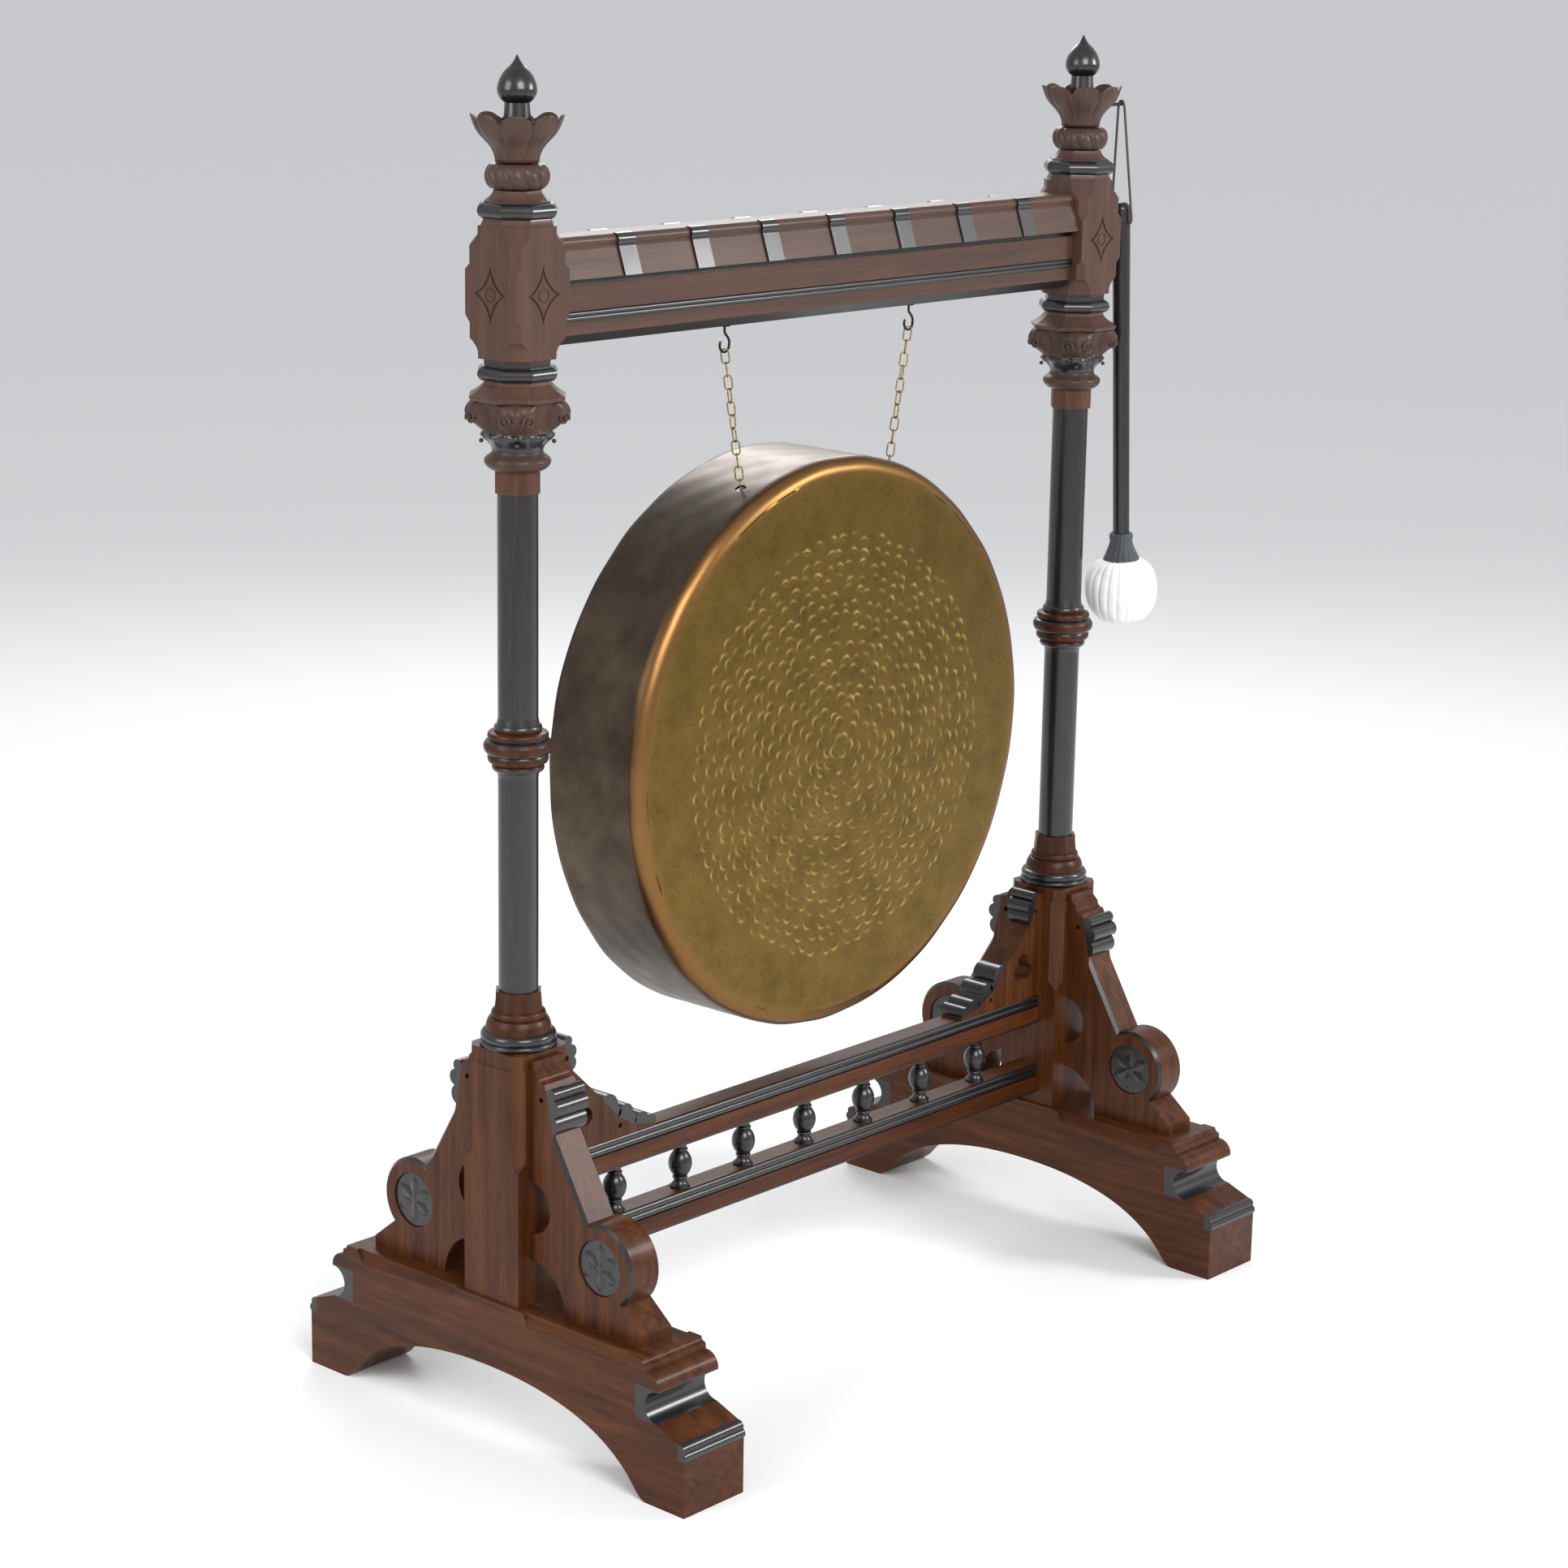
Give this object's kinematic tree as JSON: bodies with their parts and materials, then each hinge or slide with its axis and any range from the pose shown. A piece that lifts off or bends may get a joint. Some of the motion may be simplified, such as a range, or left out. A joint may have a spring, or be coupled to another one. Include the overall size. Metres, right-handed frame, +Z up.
{
  "type": "tam tam gong on a floor stand",
  "caption": "Large shallow gong hung by chains from the beam of a turned and bracketed wooden floor stand, with a padded beater on a thong.",
  "frame": {"origin": "middle of the whole object on the floor, under its box", "axes": "+X along the beam towards the post that carries the beater, +Y from the struck face of the gong to its open back, +Z up"},
  "size_m": [1.1936, 0.641, 1.6],
  "materials": {
    "oak": "stained and oiled",
    "ebonised_wood": "ebonised",
    "iron": "blackened",
    "chain_brass": "tarnished",
    "gong_bronze": "hammered, aged bronze",
    "wool_pad": "gathered wool pad",
    "collar_cloth": "gathered dark cloth",
    "leather_thong": "plain thong"
  },
  "bodies": {
    "stand": {"left_foot": "oak", "left_base_block": "oak", "left_front_bracket": "oak", "left_back_bracket": "oak", "left_inner_bracket": "oak", "left_crockets": "ebonised_wood", "left_roundels": "ebonised_wood", "left_base_torus": "oak", "left_lower_shaft": "ebonised_wood", "left_shaft_ring": "oak", "left_upper_shaft": "ebonised_wood", "left_capital": "ebonised_wood", "left_abacus": "oak", "left_neck_ring": "ebonised_wood", "left_upper_block": "oak", "left_lozenges": "oak", "left_top_ring": "ebonised_wood", "left_rope_ring": "oak", "left_leaf_cup": "oak", "left_finial": "ebonised_wood", "left_tie_rod": "iron", "left_hook": "iron", "right_foot": "oak", "right_base_block": "oak", "right_front_bracket": "oak", "right_back_bracket": "oak", "right_inner_bracket": "oak", "right_crockets": "ebonised_wood", "right_roundels": "ebonised_wood", "right_base_torus": "oak", "right_lower_shaft": "ebonised_wood", "right_shaft_ring": "oak", "right_upper_shaft": "ebonised_wood", "right_capital": "ebonised_wood", "right_abacus": "oak", "right_neck_ring": "ebonised_wood", "right_upper_block": "oak", "right_lozenges": "oak", "right_top_ring": "ebonised_wood", "right_rope_ring": "oak", "right_leaf_cup": "oak", "right_finial": "ebonised_wood", "right_tie_rod": "iron", "right_hook": "iron", "beam": "oak", "beam_straps": "ebonised_wood", "upper_rail": "oak", "lower_rail": "oak", "balusters": "ebonised_wood", "thong_peg": "iron"},
    "chains": {"left_chain": "chain_brass", "right_chain": "chain_brass"},
    "gong_body": {"gong": "gong_bronze", "left_toggle": "chain_brass", "right_toggle": "chain_brass"},
    "beater": {"beater_handle": "ebonised_wood", "beater_collar": "collar_cloth", "beater_head": "wool_pad", "beater_thong": "leather_thong"}
  },
  "joints": [
    {"name": "chain_swing", "type": "hinge", "parent": "stand", "child": "chains", "pos_m": [-0.04277, 0, 1.2495], "axis": [1, 0, 0], "range_deg": [-15, 15]},
    {"name": "gong_tilt", "type": "hinge", "parent": "chains", "child": "gong_body", "pos_m": [-0.04277, 0, 1.08182], "axis": [1, 0, 0], "range_deg": [-12, 12]},
    {"name": "beater_swing", "type": "hinge", "parent": "stand", "child": "beater", "pos_m": [0.50613, -0.0285, 1.513], "axis": [1, 0, 0], "range_deg": [-20, 20]}
  ]
}
